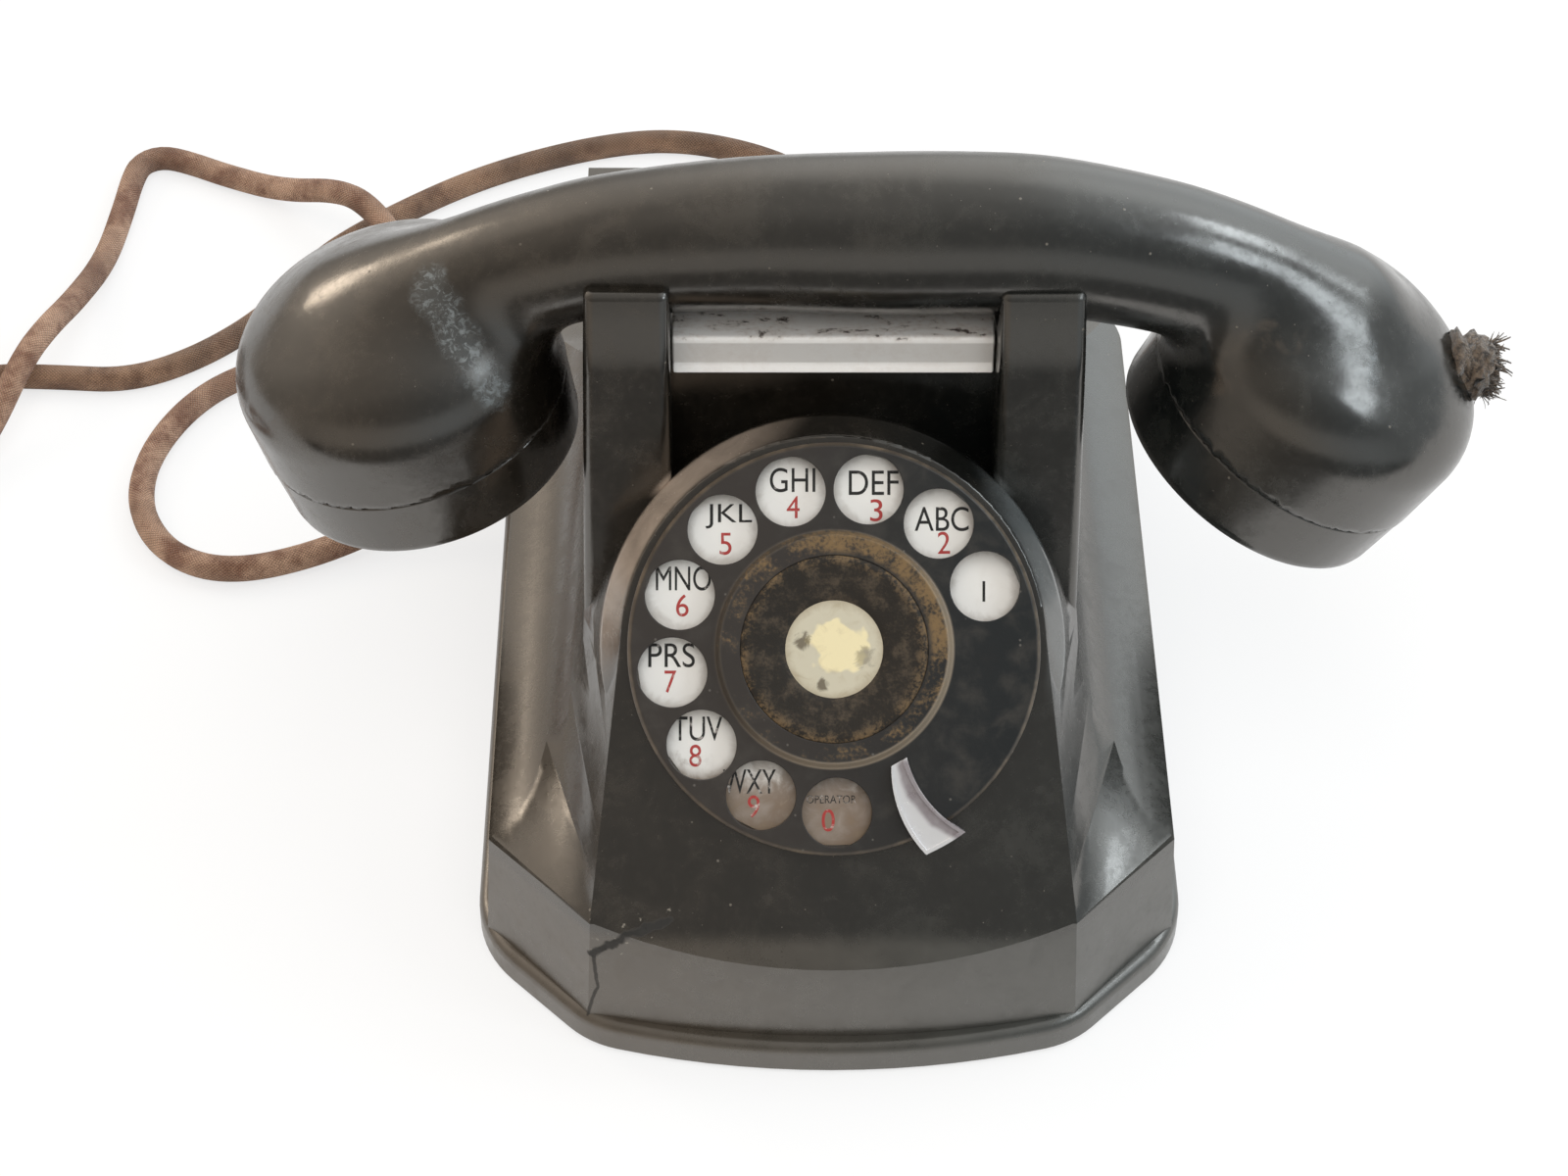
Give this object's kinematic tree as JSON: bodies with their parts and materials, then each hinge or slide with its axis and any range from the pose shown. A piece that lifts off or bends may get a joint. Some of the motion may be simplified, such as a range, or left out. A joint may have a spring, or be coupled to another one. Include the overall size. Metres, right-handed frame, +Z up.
{
  "type": "desk telephone",
  "caption": "Desk telephone with a moulded housing, rotary dial, sprung cradle bar, lift-off handset, ringer inside and two cloth-covered cords.",
  "frame": {"origin": "centre of the felt pad's underside, on the table under the middle of the base", "axes": "+X to the user's right along the resting handset, +Y to the back, +Z up; the dial faces -Y and up"},
  "size_m": [0.4447, 0.3042, 0.1405],
  "materials": {
    "bakelite": "moulded black bakelite, worn",
    "steel": "plain steel",
    "chrome": "worn nickel plate",
    "brass": "plain brass",
    "worn_brass": "dull worn brass",
    "enamel": "off-white vitreous enamel",
    "wheel_black": "black enamelled steel",
    "felt": "dark felt",
    "cloth_line": "brown-black cotton braid",
    "cloth_handset": "brown cotton braid",
    "rubber": "black rubber",
    "card": "cream card under a clear disc",
    "winding": "lacquered copper winding",
    "insulator": "laminated insulating board",
    "can": "tinned can"
  },
  "bodies": {
    "base": {"housing_shell": "bakelite", "base_plate": "steel", "base_pad": "felt", "base_screws": "steel", "line_cord_gland": "rubber", "handset_cord_gland": "rubber", "hook_pin": "steel", "hook_bracket": "steel", "hook_contact_springs": "insulator", "ringer_frame": "steel", "ringer_coils": "winding", "armature_pin": "steel", "gong_left": "brass", "gong_right": "brass", "gong_screws": "steel", "induction_coil": "winding", "capacitor": "can", "terminal_block": "bakelite", "terminal_screws": "brass", "line_cord": "cloth_line", "line_cord_coil": "cloth_line", "handset_cord": "cloth_handset", "handset_cord_coil": "cloth_handset", "line_plug_body": "bakelite", "line_plug_pins": "brass", "dial_case": "steel", "number_plate": "enamel", "dial_mount_screws": "steel", "finger_stop": "chrome", "dial_bridge": "brass", "spring_barrel": "brass", "dial_contact_springs": "insulator"},
    "dial_rotor": {"finger_wheel": "wheel_black", "card_ring": "worn_brass", "dial_card": "card", "dial_shaft": "steel", "dial_main_gear": "brass"},
    "impulse": {"impulse_shaft": "steel", "impulse_pinion": "steel", "impulse_wheel": "brass", "impulse_cam": "insulator"},
    "governor": {"governor_shaft": "steel", "governor_pinion": "steel", "governor_weights": "brass"},
    "hook_bar": {"hook_bar": "chrome"},
    "hook_lever": {"hook_lever": "steel"},
    "clapper": {"armature": "steel", "clapper_rod": "steel"},
    "handset": {"handset_handle": "bakelite", "receiver_cap": "bakelite", "receiver_capsule": "can", "transmitter_cap": "bakelite", "transmitter_capsule": "can", "handset_cord_stub": "cloth_handset"}
  },
  "joints": [
    {"name": "dial_turn", "type": "hinge", "parent": "base", "child": "dial_rotor", "pos_m": [0, -0.0512, 0.0672], "axis": [0, -0.7157, 0.6984], "range_deg": [-318, 0], "stiffness_Nm_per_rad": 0.004, "springref_deg": 68.75},
    {"name": "impulse_turn", "type": "hinge", "parent": "base", "child": "impulse", "pos_m": [-0.02174, -0.04244, 0.07618], "axis": [0, -0.7157, 0.6984], "range_deg": [0, 1272]},
    {"name": "governor_turn", "type": "hinge", "parent": "base", "child": "governor", "pos_m": [-0.02779, -0.04975, 0.06868], "axis": [0, -0.7157, 0.6984], "range_deg": [-3816, 0]},
    {"name": "handset_lift", "type": "slide", "parent": "base", "child": "handset", "axis": [0, 0, 1], "range_m": [0, 0.06]},
    {"name": "hook_bar_rise", "type": "slide", "parent": "base", "child": "hook_bar", "axis": [0, 0, 1], "range_m": [0, 0.0055]},
    {"name": "hook_lever_turn", "type": "hinge", "parent": "base", "child": "hook_lever", "pos_m": [0, 0.0255, 0.074], "axis": [-1, 0, 0], "range_deg": [0, 11]},
    {"name": "clapper_swing", "type": "hinge", "parent": "base", "child": "clapper", "pos_m": [0, 0.041, 0.0155], "axis": [0, 0, 1], "range_deg": [-4, 4]}
  ],
  "couplings": [
    {"joint": "impulse_turn", "follows": "dial_turn", "ratio": -4},
    {"joint": "governor_turn", "follows": "dial_turn", "ratio": 12},
    {"joint": "hook_bar_rise", "follows": "handset_lift", "ratio": 0.091667},
    {"joint": "hook_lever_turn", "follows": "handset_lift", "rad_per_m": 3.1998}
  ]
}
